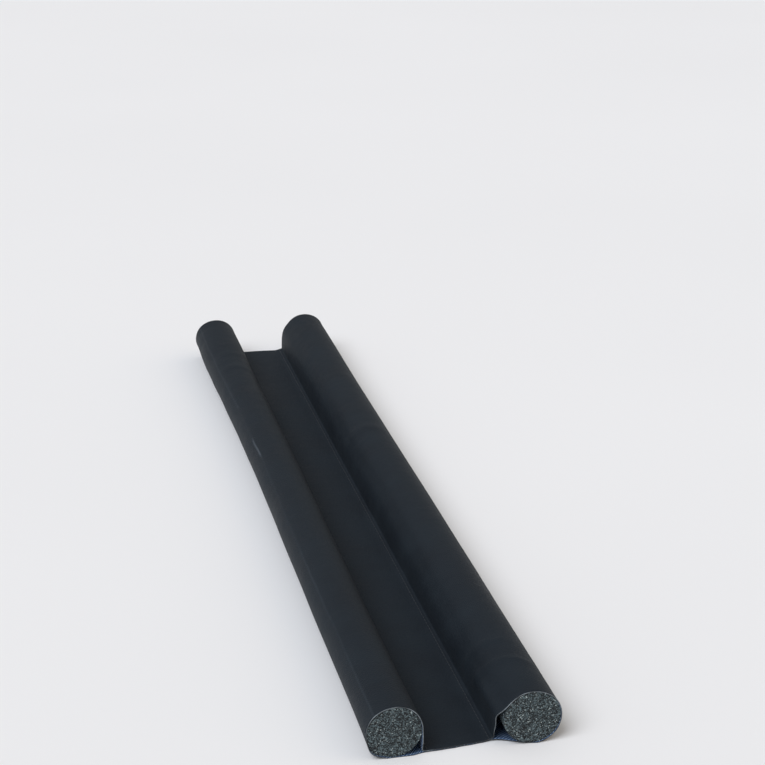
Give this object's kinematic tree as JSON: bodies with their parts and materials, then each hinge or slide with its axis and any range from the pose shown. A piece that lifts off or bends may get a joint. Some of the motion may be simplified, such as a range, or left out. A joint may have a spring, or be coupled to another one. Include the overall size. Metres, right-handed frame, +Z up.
{
  "type": "draught excluder",
  "caption": "Double under-door draught excluder: a black cloth sleeve with a flat strip that passes under the door and a foam rod in a channel on each side.",
  "frame": {"origin": "on the floor, under the middle of the excluder", "axes": "+Z up, +Y along the rolls towards the far end, +X across the strip from the snug roll to the slack one"},
  "size_m": [0.1188, 0.7228, 0.0347],
  "materials": {
    "coated_cloth": "black coated woven cloth, smooth and softly satin outside",
    "charcoal_foam": "charcoal closed-cell foam, dull, with a grainy cut face"
  },
  "bodies": {
    "root": {"sleeve": "coated_cloth", "foam_rod_left": "charcoal_foam", "foam_rod_right": "charcoal_foam"}
  },
  "joints": []
}
